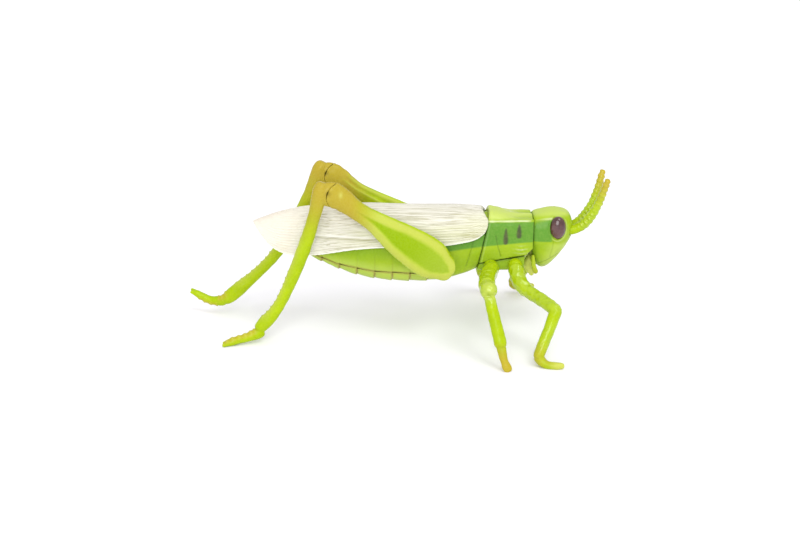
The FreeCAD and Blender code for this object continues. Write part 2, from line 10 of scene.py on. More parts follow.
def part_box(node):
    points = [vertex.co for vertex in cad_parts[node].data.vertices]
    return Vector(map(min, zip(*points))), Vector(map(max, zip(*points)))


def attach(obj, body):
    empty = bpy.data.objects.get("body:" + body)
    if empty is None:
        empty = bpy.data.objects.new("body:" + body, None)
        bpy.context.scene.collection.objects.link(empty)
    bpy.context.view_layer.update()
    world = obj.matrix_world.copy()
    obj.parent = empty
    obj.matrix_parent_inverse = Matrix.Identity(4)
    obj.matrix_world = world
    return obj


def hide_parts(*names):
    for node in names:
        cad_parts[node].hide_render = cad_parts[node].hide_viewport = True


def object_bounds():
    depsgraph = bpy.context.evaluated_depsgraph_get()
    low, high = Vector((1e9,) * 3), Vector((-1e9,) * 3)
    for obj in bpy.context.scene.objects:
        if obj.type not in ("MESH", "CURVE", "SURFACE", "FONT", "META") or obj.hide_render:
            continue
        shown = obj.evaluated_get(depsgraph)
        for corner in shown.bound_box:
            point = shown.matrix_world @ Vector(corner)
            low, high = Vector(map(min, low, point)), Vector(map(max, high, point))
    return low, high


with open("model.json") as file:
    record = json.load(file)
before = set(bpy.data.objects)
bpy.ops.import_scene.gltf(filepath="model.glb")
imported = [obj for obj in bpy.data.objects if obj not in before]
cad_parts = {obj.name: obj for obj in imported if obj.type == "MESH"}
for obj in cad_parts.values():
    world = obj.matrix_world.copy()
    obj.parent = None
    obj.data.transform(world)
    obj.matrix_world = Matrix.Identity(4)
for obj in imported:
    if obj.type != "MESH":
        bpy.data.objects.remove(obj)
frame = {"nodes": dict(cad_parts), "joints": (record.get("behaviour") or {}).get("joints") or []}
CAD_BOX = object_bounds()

# Sculpting is done in millimetres, in the row frame, and turned into metres at the end.
MM = 0.001
SIDES = ("left", "right")


# ---- numbers over many vertices ----
def step(low, high, x):
    """0 below low and 1 above high, with a smooth rise between. low may be above high."""
    t = np.clip((x - low) / (high - low), 0, 1)
    return t * t * (3 - 2 * t)


def bell(x, width):
    return np.exp(-((x / width) ** 2))


def polyline(points, a, b):
    """(distance, arc length, side) of the points (a, b) from a polyline. Side is + to its left."""
    best = np.full(len(a), 1e9)
    arc = np.zeros(len(a))
    side = np.zeros(len(a))
    run = 0.0
    for (a0, b0), (a1, b1) in zip(points[:-1], points[1:]):
        length = math.hypot(a1 - a0, b1 - b0)
        ua, ub = (a1 - a0) / length, (b1 - b0) / length
        t = np.clip((a - a0) * ua + (b - b0) * ub, 0, length)
        away = np.hypot(a - a0 - ua * t, b - b0 - ub * t)
        near = away < best
        best[near] = away[near]
        arc[near] = run + t[near]
        side[near] = (ua * (b - b0) - ub * (a - a0))[near]
        run += length
    return best, arc, np.sign(side)


def distance(points, a, b):
    """Distance alone of the points (a, b) from a polyline."""
    return polyline(points, a, b)[0]


def value_on(line, at):
    """A line's second number where its first is at. Its points are in rising order."""
    return np.interp(at, *zip(*line))


def waves(co, size, seed, count=14):
    """Smooth lumps of about that size in mm, from -1 to 1, the same on each run."""
    rng = np.random.default_rng(seed)
    total = np.zeros(len(co))
    for _ in range(count):
        way = rng.normal(size=3)
        way *= 2 * math.pi / size * rng.uniform(0.6, 1.3) / np.linalg.norm(way)
        total += np.sin(co @ way + rng.uniform(0, 2 * math.pi))
    return np.clip(total / math.sqrt(count) / 1.2, -1, 1)


def edges_along(key, value, width=0.7):
    """Lowest and highest value near each vertex's key, smoothed along the key."""
    low_key = key.min()
    bins = ((key - low_key) / width).astype(int)
    count = bins.max() + 1
    lows, highs = np.full(count, np.inf), np.full(count, -np.inf)
    np.minimum.at(lows, bins, value)
    np.maximum.at(highs, bins, value)
    known = np.isfinite(lows)
    centres = low_key + (np.arange(count) + 0.5) * width
    lows = np.interp(key, centres[known], lows[known])
    highs = np.interp(key, centres[known], highs[known])
    return lows, highs


SIDEWAYS = np.array([0.0, 1.0, 0.0])


def traced(co, key, width=1.0):
    """Arc length, radial offset and its unit direction from a limb's centreline, found along key."""
    order = ((key - key.min()) / width).astype(int)
    count = order.max() + 1
    centre = np.zeros((count, 3))
    hits = np.bincount(order, minlength=count)
    for axis in range(3):
        centre[:, axis] = np.bincount(order, co[:, axis], minlength=count) / np.maximum(hits, 1)
    centre = centre[hits > 0]
    smooth = centre.copy()
    for _ in range(3):
        smooth[1:-1] = (smooth[:-2] + 2 * smooth[1:-1] + smooth[2:]) / 4
    best = np.full(len(co), 1e9)
    arc = np.zeros(len(co))
    offset = np.zeros((len(co), 3))
    tangent = np.zeros((len(co), 3))
    run = 0.0
    for a, b in zip(smooth[:-1], smooth[1:]):
        length = np.linalg.norm(b - a)
        way = (b - a) / length
        t = (co - a) @ way
        held = np.clip(t, 0, length)
        away = co - a - held[:, None] * way
        gap = np.linalg.norm(away, axis=1)
        near = gap < best
        best[near] = gap[near]
        arc[near] = run + held[near]
        offset[near] = away[near]
        tangent[near] = way
        run += length
    return arc, offset, tangent, run


def joint_point(name):
    """A joint's point in mm."""
    joint = next(j for j in frame["joints"] if j["name"] == name)
    return np.array(joint["pos_m"], float) / MM


NECK = joint_point("neck_swivel")


# ---- a CAD node as a fine mesh that can be sculpted and painted ----
class Skin:
    """One or more CAD nodes, remeshed evenly as one piece. co and normal hold its vertices, in mm."""

    def __init__(self, name, body, slot, nodes, voxel=0.18, smooth=5):
        self.name, self.body, self.slot, self.nodes = name, body, slot, nodes
        bm = bmesh.new()
        for node in nodes:
            bm.from_mesh(frame["nodes"][node].data)
        bmesh.ops.scale(bm, vec=(1 / MM, 1 / MM, 1 / MM), verts=bm.verts)
        bmesh.ops.remove_doubles(bm, verts=bm.verts, dist=0.0005)
        rough = bpy.data.meshes.new(name + "_rough")
        bm.to_mesh(rough)
        bm.free()
        holder = bpy.data.objects.new(name + "_rough", rough)
        bpy.context.scene.collection.objects.link(holder)
        remesh = holder.modifiers.new("even", "REMESH")
        remesh.mode = "VOXEL"
        remesh.voxel_size = voxel
        soften = holder.modifiers.new("soften", "SMOOTH")
        soften.iterations = smooth
        soften.factor = 0.5
        depsgraph = bpy.context.evaluated_depsgraph_get()
        self.mesh = bpy.data.meshes.new_from_object(holder.evaluated_get(depsgraph))
        self.mesh.name = name
        bpy.data.objects.remove(holder)
        bpy.data.meshes.remove(rough)
        self.read()

    def read(self):
        count = len(self.mesh.vertices)
        flat = np.empty(count * 3, np.float32)
        self.mesh.vertices.foreach_get("co", flat)
        self.co = flat.reshape(-1, 3).astype(float)
        self.mesh.vertex_normals.foreach_get("vector", flat)
        self.normal = flat.reshape(-1, 3).astype(float)

    def write(self):
        self.mesh.vertices.foreach_set("co", self.co.astype(np.float32).ravel())
        self.mesh.update()

    def push(self, amount):
        """Moves the surface out by amount, in mm."""
        self.co += self.normal * np.asarray(amount)[:, None]

    def settle(self):
        """Takes the pushed shape's own normals, for a second layer of detail."""
        self.write()
        self.read()

    def from_neck(self):
        """(forward, side, up) in mm from the neck joint; side is the distance from the middle."""
        return self.co[:, 0] - NECK[0], np.abs(self.co[:, 1]), self.co[:, 2] - NECK[2]

    def paint(self, **masks):
        """Stores each mask, 0 to 1 at every vertex, for the material to read by name."""
        for name, value in masks.items():
            attribute = self.mesh.attributes.new(name, "FLOAT", "POINT")
            attribute.data.foreach_set("value", np.clip(value, 0, 1).astype(np.float32))

    def done(self, material):
        """Turns the skin into metres and puts it in the scene as a piece on its body, in place of its CAD
        nodes, which it hides.
        """
        self.co *= MM
        self.write()
        self.mesh.materials.clear()
        self.mesh.materials.append(material)
        self.mesh.shade_smooth()
        piece = bpy.data.objects.new(self.name, self.mesh)
        bpy.context.scene.collection.objects.link(piece)
        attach(piece, self.body)
        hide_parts(*self.nodes)


# ---- materials ----
LIT = 0.76  # how much darker than its finished look a plastic is, for the studio brightens it


def rgb(red, green, blue):
    """A plastic's finished look, as 0 to 255 in sRGB, turned into its linear base colour."""
    out = []
    for value in (red, green, blue):
        c = value / 255
        linear = c / 12.92 if c <= 0.04045 else ((c + 0.055) / 1.055) ** 2.4
        out.append(LIT * linear)
    return (*out, 1.0)


class Shader:
    """Short calls that add nodes to one material."""

    def __init__(self, name, roughness=0.35, coat=0.12, subsurface=0.1, specular=0.08):
        self.material = bpy.data.materials.new(name)
        self.material.use_nodes = True
        self.nodes = self.material.node_tree.nodes
        self.links = self.material.node_tree.links
        self.bsdf = self.nodes["Principled BSDF"]
        self.bsdf.inputs["Roughness"].default_value = roughness
        self.bsdf.inputs["Coat Weight"].default_value = coat
        self.bsdf.inputs["Coat Roughness"].default_value = 0.15
        self.bsdf.inputs["Specular IOR Level"].default_value = specular
        self.bsdf.inputs["Subsurface Weight"].default_value = subsurface
        self.bsdf.inputs["Subsurface Radius"].default_value = (1.0, 1.0, 0.35)
        self.bsdf.inputs["Subsurface Scale"].default_value = 1.2 * MM
        self.coords = self.nodes.new("ShaderNodeTexCoord").outputs["Object"]

    def put(self, socket, value):
        if isinstance(value, bpy.types.NodeSocket):
            self.links.new(value, socket)
        else:
            socket.default_value = value

    def attr(self, name):
        node = self.nodes.new("ShaderNodeAttribute")
        node.attribute_name = name
        return node.outputs["Fac"]

    def noise(self, size, detail=3.0, stretch=(1, 1, 1)):
        """Noise whose features are about that size in mm."""
        place = self.nodes.new("ShaderNodeMapping")
        place.inputs["Scale"].default_value = [s / (size * MM) for s in stretch]
        self.links.new(self.coords, place.inputs["Vector"])
        node = self.nodes.new("ShaderNodeTexNoise")
        node.inputs["Scale"].default_value = 1.0
        node.inputs["Detail"].default_value = detail
        self.links.new(place.outputs["Vector"], node.inputs["Vector"])
        return node.outputs["Fac"]

    def span(self, value, low, high, to_low=0.0, to_high=1.0):
        node = self.nodes.new("ShaderNodeMapRange")
        node.interpolation_type = "SMOOTHSTEP"
        self.put(node.inputs["Value"], value)
        for socket, number in zip(("From Min", "From Max", "To Min", "To Max"), (low, high, to_low, to_high)):
            node.inputs[socket].default_value = number
        return node.outputs["Result"]

    def math(self, kind, a, b):
        node = self.nodes.new("ShaderNodeMath")
        node.operation = kind
        self.put(node.inputs[0], a)
        self.put(node.inputs[1], b)
        return node.outputs[0]

    def mix(self, share, a, b):
        node = self.nodes.new("ShaderNodeMix")
        node.data_type = "RGBA"
        self.put(node.inputs["Factor"], share)
        self.put(node.inputs["A"], a)
        self.put(node.inputs["B"], b)
        return node.outputs["Result"]

    def colour(self, value):
        self.put(self.bsdf.inputs["Base Color"], value)

    def bump(self, height, depth):
        """Fine relief: height is 0 to 1, and depth its size in mm."""
        node = self.nodes.new("ShaderNodeBump")
        node.inputs["Strength"].default_value = 1.0
        node.inputs["Distance"].default_value = depth * MM
        self.put(node.inputs["Height"], height)
        self.links.new(node.outputs["Normal"], self.bsdf.inputs["Normal"])


LIME = rgb(186, 212, 4)
LIME_DEEP = rgb(164, 192, 0)
LEAF = rgb(178, 206, 36)
LEAF_DEEP = rgb(144, 184, 30)
CROWN = rgb(208, 227, 112)
BAND = rgb(106, 164, 54)
PALE = rgb(242, 248, 206)
BROWN = rgb(82, 72, 62)
SEAM_BROWN = rgb(160, 118, 72)
OCHRE = rgb(196, 172, 58)
ORANGE = rgb(204, 178, 50)
# Painted shade: the deeper lime of the thigh's sunk panel.
PANEL_SHADE = rgb(156, 190, 0)
# Pale olive: painted highlight on the thigh's raised rims and ridges and the shin's rear edge, and a paler
# tone on the mouthparts' outer parts.
RIM_AND_HIGHLIGHT = rgb(204, 214, 88)
# Pale yellow: the lip's own tone, and painted highlights and glints on the limbs.
PALE_AND_HIGHLIGHT_YELLOW = rgb(226, 232, 120)
# Painted shade in the limbs' pits and valleys and on the mid knee.
PIT_SHADE_BROWN = rgb(98, 84, 30)
# Painted shade: the dark green laid into the body's seams, grooves and gaps.
GAP_SHADE_GREEN = rgb(60, 88, 22)
# Faint painted sheen, in pale flecks at random.
BODY_SHEEN_FLECK = rgb(214, 234, 120)
# Faint painted glow, in pale flecks at random.
LIMB_GLOW_FLECK = rgb(226, 238, 110)
EYE_DARK = rgb(76, 42, 42)
EYE_LIGHT = rgb(106, 68, 66)

# The wings and the floor have plain linear base colours.
WING_MILK = (0.81, 0.785, 0.68, 1)
WING_OLIVE = (0.38, 0.35, 0.18, 1)
WING_GREEN = (0.58, 0.6, 0.24, 1)
# Painted shade below the wing's fold.
WING_CREASE_SHADE = (0.34, 0.32, 0.16, 1)
WING_TIP = (0.9, 0.8, 0.68, 1)
WING_VEIN = (0.88, 0.86, 0.79, 1)
FLOOR_COLOURS = (0.935, 0.92, 0.975, 1), (0.945, 0.93, 0.98, 1)


def body_material(name):
    """Satin green: pale line, dark side band, brown marks and brown belly lines, by painted masks, with
    painted shade in seams, grooves and shaded faces, painted light and highlights, and faint painted sheen
    flecks.
    """
    s = Shader(name)
    cloud = s.span(s.noise(7.0), 0.3, 0.7)
    fine = s.noise(0.7, 4.0)
    base = s.mix(s.math("MULTIPLY", cloud, 0.55), LEAF, LEAF_DEEP)
    base = s.mix(s.attr("crown"), base, CROWN)
    base = s.mix(s.attr("shade"), base, LEAF_DEEP)
    base = s.mix(s.attr("band"), base, BAND)
    base = s.mix(s.attr("keel"), base, PALE)
    base = s.mix(s.attr("tick"), base, SEAM_BROWN)
    base = s.mix(s.attr("mark"), base, BROWN)
    # dark: painted shade in seams, grooves and gaps.
    base = s.mix(s.attr("dark"), base, GAP_SHADE_GREEN)
    # Faint painted sheen flecks.
    base = s.mix(s.math("MULTIPLY", s.span(fine, 0.35, 0.75), 0.08), base, BODY_SHEEN_FLECK)
    s.colour(base)
    s.put(s.bsdf.inputs["Roughness"], s.span(fine, 0.3, 0.8, 0.28, 0.42))
    s.bump(s.noise(0.5, 4.0), 0.025)
    return s.material


def limb_material(name):
    """Glossy lime, ochre at the joints and orange on the feet, with painted highlights, painted shade in pits
    and sunk faces, and faint painted glow flecks.
    """
    s = Shader(name, subsurface=0.12)
    cloud = s.span(s.noise(5.0), 0.3, 0.7)
    fine = s.noise(0.6, 4.0)
    base = s.mix(s.math("MULTIPLY", cloud, 0.5), LIME, LIME_DEEP)
    # panel: painted shade in the sunk panel.
    base = s.mix(s.attr("panel"), base, PANEL_SHADE)
    base = s.mix(s.attr("rim"), base, RIM_AND_HIGHLIGHT)
    base = s.mix(s.attr("ochre"), base, OCHRE)
    base = s.mix(s.attr("orange"), base, ORANGE)
    # pale: painted highlights and glints, and some pale tone.
    base = s.mix(s.attr("pale"), base, PALE_AND_HIGHLIGHT_YELLOW)
    # dark: painted shade.
    base = s.mix(s.attr("dark"), base, PIT_SHADE_BROWN)
    # Faint painted glow flecks.
    base = s.mix(s.math("MULTIPLY", s.span(fine, 0.4, 0.8), 0.06), base, LIMB_GLOW_FLECK)
    s.colour(base)
    s.put(s.bsdf.inputs["Roughness"], s.span(fine, 0.3, 0.8, 0.24, 0.36))
    s.put(s.bsdf.inputs["Coat Weight"], s.span(s.attr("wet"), 0.0, 1.0, 0.12, 1.0))
    s.bump(s.noise(0.9, 3.0), 0.03)
    return s.material


def wing_material(name):
    """Milky clear plastic, with olive streaks between the veins, a green cast by the body and painted shade
    below the fold.
    """
    s = Shader(name, roughness=0.3, coat=0.15, subsurface=0.0)
    vein = s.attr("vein")
    streak = s.span(s.noise(0.3, 3.0, stretch=(0.03, 1, 1)), 0.48, 0.62)
    patch = s.span(s.noise(7.0, 2.0, stretch=(0.6, 1, 1)), 0.36, 0.62, 0.3, 1.0)
    dull = s.math("MULTIPLY", s.math("MULTIPLY", streak, patch), s.attr("streaky"))
    base = s.mix(s.math("MULTIPLY", dull, 0.75), WING_MILK, WING_OLIVE)
    base = s.mix(s.attr("green"), base, WING_GREEN)
    base = s.mix(s.attr("crease"), base, WING_CREASE_SHADE)
    base = s.mix(s.attr("tint"), base, WING_TIP)
    base = s.mix(vein, base, WING_VEIN)
    s.colour(base)
    s.put(s.bsdf.inputs["Alpha"], s.math("ADD", s.math("MULTIPLY", vein, 0.14), 0.8))
    s.bump(streak, 0.04)
    return s.material


def eye_material(name):
    s = Shader(name, roughness=0.14, coat=0.7, subsurface=0.0, specular=0.35)
    base = s.mix(s.span(s.noise(2.4), 0.35, 0.65), EYE_DARK, EYE_LIGHT)
    s.colour(base)
    s.bump(s.noise(0.35, 2.0), 0.01)
    return s.material


BODY = body_material("satin_green")
LIMB = limb_material("gloss_lime")
WING = wing_material("milky_clear")
EYE = eye_material("gloss_brown")


# ---- head and body ----
def body_paint(skin, **masks):
    """Writes every mask that the body's material reads; one that isn't given is 0."""
    zero = np.zeros(len(skin.co))
    for name in ("crown", "band", "keel", "mark", "tick", "dark", "shade"):
        skin.paint(**{name: zero + masks.get(name, 0)})


def keel_height(x):
    """Height over the neck joint of the pale line along the body's shoulder."""
    return np.where(x > 0, 5.4 + 0.08 * np.minimum(x, 5), 5.22 + 0.024 * x)


def drop_mark(x, z, at, low, high, wide):
    """A drop-shaped mark, widest near its foot."""
    t = np.clip((z - low) / (high - low), 0, 1)
    half = wide * np.sqrt(np.clip(np.sin(math.pi * t ** 0.7), 0, 1)) * (1 - 0.45 * t)
    inside = (z > low) & (z < high)
    return step(0.35, -0.3, np.abs(x - at) - half) * inside


# Lines on the body's flank, as (forward, up) in mm from the neck joint.
SPLIT = [(-16.2, -7.9), (-1.8, -5.2), (0.6, -2.6)]  # seam over the sternum plate
WAIST = [(-13.0, 7.7), (-16.4, -11.0)]  # the pronotum's rear edge
PRONOTUM_GROOVE = [(-11.2, 0.7), (-10.5, -2.5), (-9.5, -5.5)]
HIP_SUTURE = [(-17.2, 3.0), (-18.2, -3.0), (-19.6, -9.0)]
MOUTH = [(1.6, -8.6), (4.0, -7.4), (7.6, -5.2)]
CHEEK = [(6.0, -0.6), (5.8, -3.0), (5.3, -6.0)]
BELLY_SEAM = [(-70, -4.4), (-65.4, -6.2), (-58, -9.0), (-46.4, -11.0), (-35.7, -11.3), (-26, -11.6), (0, -14)]


def pronotum():
    s = Skin("pronotum_shell_skin", "body", "body_green", ["pronotum_shell"])
    x, y, z = s.from_neck()
    flank = step(4.2, 5.2, y)
    keel = keel_height(x)
    rear = distance(WAIST, x, z)
    groove = distance(PRONOTUM_GROOVE, x, z)
    ends = step(-0.4, -2.0, x)
    s.push(0.17 * bell(z - keel, 0.38) * flank
           + 0.14 * bell(rear - 0.7, 0.5)
           - 0.13 * bell(groove, 0.22) * flank
           + 0.09 * np.sin(x * 4.6 + z * 2.2) * bell(x + 3.5, 2.2) * bell(z + 3.4, 1.0) * flank
           + 0.03 * waves(s.co, 2.2, 3))
    low = -1.0 + 0.105 * x
    band = step(low - 0.25, low + 0.25, z) * step(keel - 0.1, keel - 0.5, z) * flank
    mark = np.maximum(drop_mark(x, z, -8.2, -1.9, 3.1, 0.8), drop_mark(x, z, -4.3, 0.0, 4.3, 0.85))
    seam = distance(SPLIT, x, z)
    lower = step(keel + 0.6, keel - 0.6, z)
    # Painted shade: darker along the rear edge, the neck edge, the seam and the groove.
    edge_shade = lower * np.maximum(0.6 * bell(rear, 0.26), 0.35 * bell(x, 0.16))
    dark = np.maximum(edge_shade, 0.6 * bell(seam, 0.2))
    ripple = step(0.2, 0.9, np.sin(z * 5.2 + 0.9 * np.sin(x * 1.3))) * bell(x + 3.4, 1.6) * bell(z + 3.6, 1.2)
    line = bell(z - keel, 0.22 + 0.06 * waves(s.co, 3.0, 73)) * ends * (0.8 + 0.2 * waves(s.co, 2.0, 79))
    # Besides the keel line and the ripples, pale holds a faint painted highlight along the rear rim.
    pale = np.maximum(line, np.maximum(0.45 * ripple, 0.1 * bell(rear - 0.6, 0.2) * lower))
    body_paint(s, crown=step(keel, keel + 1.0, z), band=band, keel=pale * flank, mark=mark * 0.85 * flank,
               dark=np.maximum(dark, 0.5 * bell(groove, 0.14) * flank))
    s.done(BODY)


def sternum():
    s = Skin("sternum_plate_skin", "body", "body_green", ["sternum_plate"])
    x, y, z = s.from_neck()
    seam = distance(SPLIT, x, z)
    hip = joint_point("fore_leg_right_swivel") - NECK
    shoulder = bell(np.hypot(x - hip[0], z - hip[2]), 3.5) * step(4.0, 5.0, y)
    s.push(0.04 * waves(s.co, 2.5, 5) * (1 - shoulder) - 0.12 * bell(seam, 0.3) - 0.08 * shoulder)
    # Painted shade: dark along the seam, and the whole plate a shade deeper as it lies in shade between the
    # legs.
    body_paint(s, dark=0.75 * bell(seam, 0.5), shade=0.5)
    s.done(BODY)


SEGMENT = 5.25  # pitch of the abdomen's rings
FIRST_RING = -36.2  # front edge of a ring, from the neck joint


def segments(x):
    """Distance from the nearest ring edge, and the position within a ring from 0 at its front to 1."""
    run = (FIRST_RING - x) / SEGMENT
    part = run - np.floor(run)
    return np.minimum(part, 1 - part) * SEGMENT, part


def abdomen():
    s = Skin("abdomen_shell_skin", "body", "body_green", ["abdomen_shell"], voxel=0.2)
    x, y, z = s.from_neck()
    edge, part = segments(x)
    rings = step(-34.5, -36.5, x)
    suture = distance(HIP_SUTURE, x, z)
    flank = step(3.0, 4.5, y)
    s.push(0.10 * rings * (0.5 - part) - 0.10 * rings * bell(edge, 0.28)
           - 0.14 * bell(suture, 0.3) * flank
           + 0.04 * waves(s.co, 3.0, 7))
    low = np.interp(x, [-31, -25, -15], [-4.7, -4.2, -2.6])
    band = step(low - 0.35, low + 0.35, z) * flank * step(-42, -30, x)
    # Painted shade: the upper flank of the rear abdomen darker, under the wings.
    under_wing_shade = step(-8.5, -4.0, z) * step(-30, -36, x)
    waist = distance(WAIST, x, z)
    belly = value_on(BELLY_SEAM, x)
    rim = bell(z - belly - 0.15, 0.22) * rings
    light = 0.45 * step(3.6, 0.6, z - belly) * step(-28, -36, x)
    # dark is painted shade in the waist seam under the pronotum's edge and in the hip suture.
    body_paint(s, crown=light, band=band, shade=0.75 * under_wing_shade,
               tick=np.maximum(0.55 * rim, 0.16 * rings * bell(edge, 0.16) * step(-5, -9.5, z)),
               dark=0.8 * bell(waist, 0.35) * step(5.6, 4.4, z) + 0.35 * bell(suture, 0.2) * flank)
    s.done(BODY)


def belly_plate():
    s = Skin("belly_plate_skin", "body", "belly_green", ["belly_plate"])
    x, _, z = s.from_neck()
    edge, part = segments(x)
    s.push(0.34 * (0.5 - part) - 0.08 * bell(edge, 0.2) + 0.03 * waves(s.co, 2.0, 11))
    seam = value_on(BELLY_SEAM, x)
    line = step(0.75, 0.15, seam - z)
    ticks = bell(edge, 0.36) * step(4.6, 1.0, seam - z)
    body_paint(s, crown=0.5, tick=np.maximum(0.55 * line, 0.7 * ticks))
    s.done(BODY)


EYE_HALF_LENGTH = 2.35  # of the eye's outline where it leaves the head
EYE_HALF_HEIGHT = 3.5


def head():
    s = Skin("head_shell_skin", "head", "body_green", ["head_shell"], voxel=0.17)
    x, y, z = s.from_neck()
    low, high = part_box("eye_left")
    eye = (np.array(low) + np.array(high)) / 2 / MM - NECK
    eye_x, eye_z = (x - eye[0]) / EYE_HALF_LENGTH, (z - eye[2]) / EYE_HALF_HEIGHT
    flank = step(4.0, 5.2, y)
    round_eye = np.hypot(eye_x, eye_z)
    keel = keel_height(x)
    mouth = distance(MOUTH, x, z)
    cheek = distance(CHEEK, x, z)
    ahead = step(eye[0] - 1.0, eye[0] - 2.2, x)
    s.push(0.22 * bell(round_eye - 1.13, 0.11) * step(3.2, 4.0, y)
           + 0.12 * bell(z - keel, 0.4) * flank * ahead
           - 0.14 * bell(mouth, 0.22) * step(3.0, 4.0, y)
           - 0.09 * bell(cheek, 0.25) * flank
           + 0.04 * bell(x - 0.15, 0.2) * (s.normal[:, 0] < -0.6)
           + 0.03 * waves(s.co, 2.6, 13))
    band = step(-1.25, -0.75, z) * step(keel - 0.15, keel - 0.5, z) * flank * ahead
    below = step(-0.3, 0.6, eye_x - eye_z)
    rim = 0.25 * bell(round_eye - 1.1, 0.04) * step(3.2, 4.0, y) * below
    line = bell(z - keel, 0.3) * flank * ahead
    # Painted shade: darker at the neck gap, in the mouth and cheek grooves and round the eye, and by shade on
    # the flank near the neck seam.
    dark = np.maximum(0.3 * bell(x - 0.15, 0.16) * step(keel + 0.6, keel - 0.6, z),
                      0.4 * bell(mouth, 0.16) * step(3.0, 4.0, y))
    dark = np.maximum(dark, 0.2 * bell(cheek, 0.2) * flank)
    dark = np.maximum(dark, 0.5 * bell(round_eye - 0.98, 0.05) * flank)
    # front is painted light: the head's front face paler, where light shows through the plastic.
    front = 0.55 * step(3.5, 8.0, x - 0.35 * z) * step(-1.0, -2.5, z)
    body_paint(s, crown=np.maximum(step(keel, keel + 1.2, z) * 0.8, front), band=band,
               keel=np.maximum(line, rim), dark=dark, shade=0.55 * step(3.2, 0.6, x) * step(-1.0, -2.5, z))
    s.done(BODY)


def mouthparts():
    s = Skin("mouthparts_skin", "head", "mouth_green", ["mouthparts"], voxel=0.14, smooth=4)
    _, y, z = s.from_neck()
    s.push(0.05 * waves(s.co, 1.4, 17))
    lip = step(3.5, 2.5, y)
    limb_paint(s, pale=0.85 * lip, rim=0.3 * (1 - lip), ochre=0.3 * step(-8.0, -11.0, z) * (1 - lip))
    s.done(LIMB)


# ---- limbs ----
def limb_paint(skin, **masks):
    """Writes every mask that the limbs' material reads; one that isn't given is 0."""
    zero = np.zeros(len(skin.co))
    for name in ("panel", "rim", "ochre", "orange", "pale", "dark", "wet"):
        skin.paint(**{name: zero + masks.get(name, 0)})


BEAD_ROW = 1.55  # pitch of the rows of beads on an antenna


def antenna(side):
    s = Skin(f"antenna_{side}_skin", f"antenna_{side}", "limb_lime", [f"antenna_{side}"], voxel=0.13,
             smooth=4)
    arc, offset, tangent, length = traced(s.co, s.co[:, 0] + s.co[:, 2])
    outward = np.cross(tangent, SIDEWAYS)
    angle = np.arctan2(offset @ SIDEWAYS, np.einsum("ij,ij->i", offset, outward))
    along = arc / length
    turn = 2 * math.pi * arc / BEAD_ROW
    beads = np.cos(turn) * np.cos(2.5 * angle)
    thin = step(0.45, 0.6, along)
    bumps = (1 - thin) * beads + thin * (0.6 * np.cos(turn) + 0.3 * beads) + 0.35 * waves(s.co, 1.6, 19)
    reach = step(0.16, 0.24, along) * step(1.0, 0.97, along)
    s.push(0.14 * bumps * reach)
    # pale is a painted highlight on the beads' crests.
    limb_paint(s, orange=0.9 * step(0.5, 1.0, along),
               pale=0.5 * step(0.35, 1.0, bumps) * reach * step(1.1, 0.6, along), wet=0.5 * reach)
    s.done(LIMB)


def fore_leg(side):
    s = Skin(f"fore_leg_{side}_skin", f"fore_leg_{side}", "limb_lime", [f"fore_leg_{side}"], voxel=0.16)
    x, y, z = s.from_neck()
    low = z + NECK[2]
    out = y - abs(joint_point(f"fore_leg_{side}_swivel")[1])
    up = step(13.5, 17.0, low) * step(2.0, 3.0, out)
    folds = np.cos(2.2 * (y - 0.6 * z)) * up
    shin = step(14.5, 11.5, low) * step(4.0, 6.0, low)
    # streak: a painted highlight, a broken pale streak down the shin.
    streak = shin * bell(x - np.interp(low, [3.4, 15.0], [0.2, 4.6]) + 0.3, 0.35)
    clear = step(1.0, 3.0, out)  # the shoulder is drawn in, to turn free of the sternum plate
    s.push((0.04 * waves(s.co, 3.2, 23) + 0.03 * waves(s.co, 1.5, 29)) * clear - 0.07 * (1 - clear)
           + 0.07 * folds + 0.08 * waves(s.co, 1.7, 61) * up)
    ankle = step(9.5, 4.0, low) * step(4.5, -1.0, x)
    instep = bell(np.hypot(x - 3.2, low - 3.2), 1.6)
    toe = step(2.5, 6.0, x) * step(6.0, 4.0, low)
    broken_highlight = 0.45 * streak * step(0.0, 0.6, waves(s.co, 1.1, 67))
    limb_paint(s, ochre=np.maximum(0.6 * ankle, 0.9 * instep), orange=0.4 * toe,
               pale=np.maximum(broken_highlight, 0.5 * toe), wet=np.maximum(0.85 * up, 0.5 * shin))
    s.done(LIMB)


# The knee ball of a mid leg, in mm.
MID_KNEE_X = joint_point("mid_leg_right_swivel")[0] - 2.0
MID_KNEE_OUT = 22.3  # from the middle plane
MID_KNEE_HEIGHT = 21.3  # over the floor


def mid_leg(side):
    s = Skin(f"mid_leg_{side}_skin", f"mid_leg_{side}", "limb_lime", [f"mid_leg_{side}"], voxel=0.16)
    x, y, z = s.from_neck()
    low = z + NECK[2]
    thigh = step(17.0, 19.0, low) * step(8.6, 9.6, y)
    knee = np.hypot(y - MID_KNEE_OUT, low - MID_KNEE_HEIGHT)
    crease = bell(y - 19.8, 0.4) * step(17.5, 18.5, low)
    s.push(0.04 * waves(s.co, 3.2, 31) + 0.03 * waves(s.co, 1.4, 37) + 0.08 * waves(s.co, 2.0, 97) * thigh
           - 0.22 * crease)
    # Painted shade in a spot on the knee ball, and a painted highlight round the ball on the thigh.
    off_spot = np.hypot(x + NECK[0] - MID_KNEE_X, low - MID_KNEE_HEIGHT + 0.6)
    shade_spot = bell(off_spot, 0.8) * step(MID_KNEE_OUT + 0.7, MID_KNEE_OUT + 1.7, y)
    limb_paint(s, ochre=0.5 * step(9.5, 5.0, low), orange=0.75 * step(7.0, 2.5, low), dark=0.25 * shade_spot,
               pale=0.3 * bell(knee - 2.4, 0.8) * thigh * (1 - shade_spot), wet=0.9 * thigh)
    s.done(LIMB)


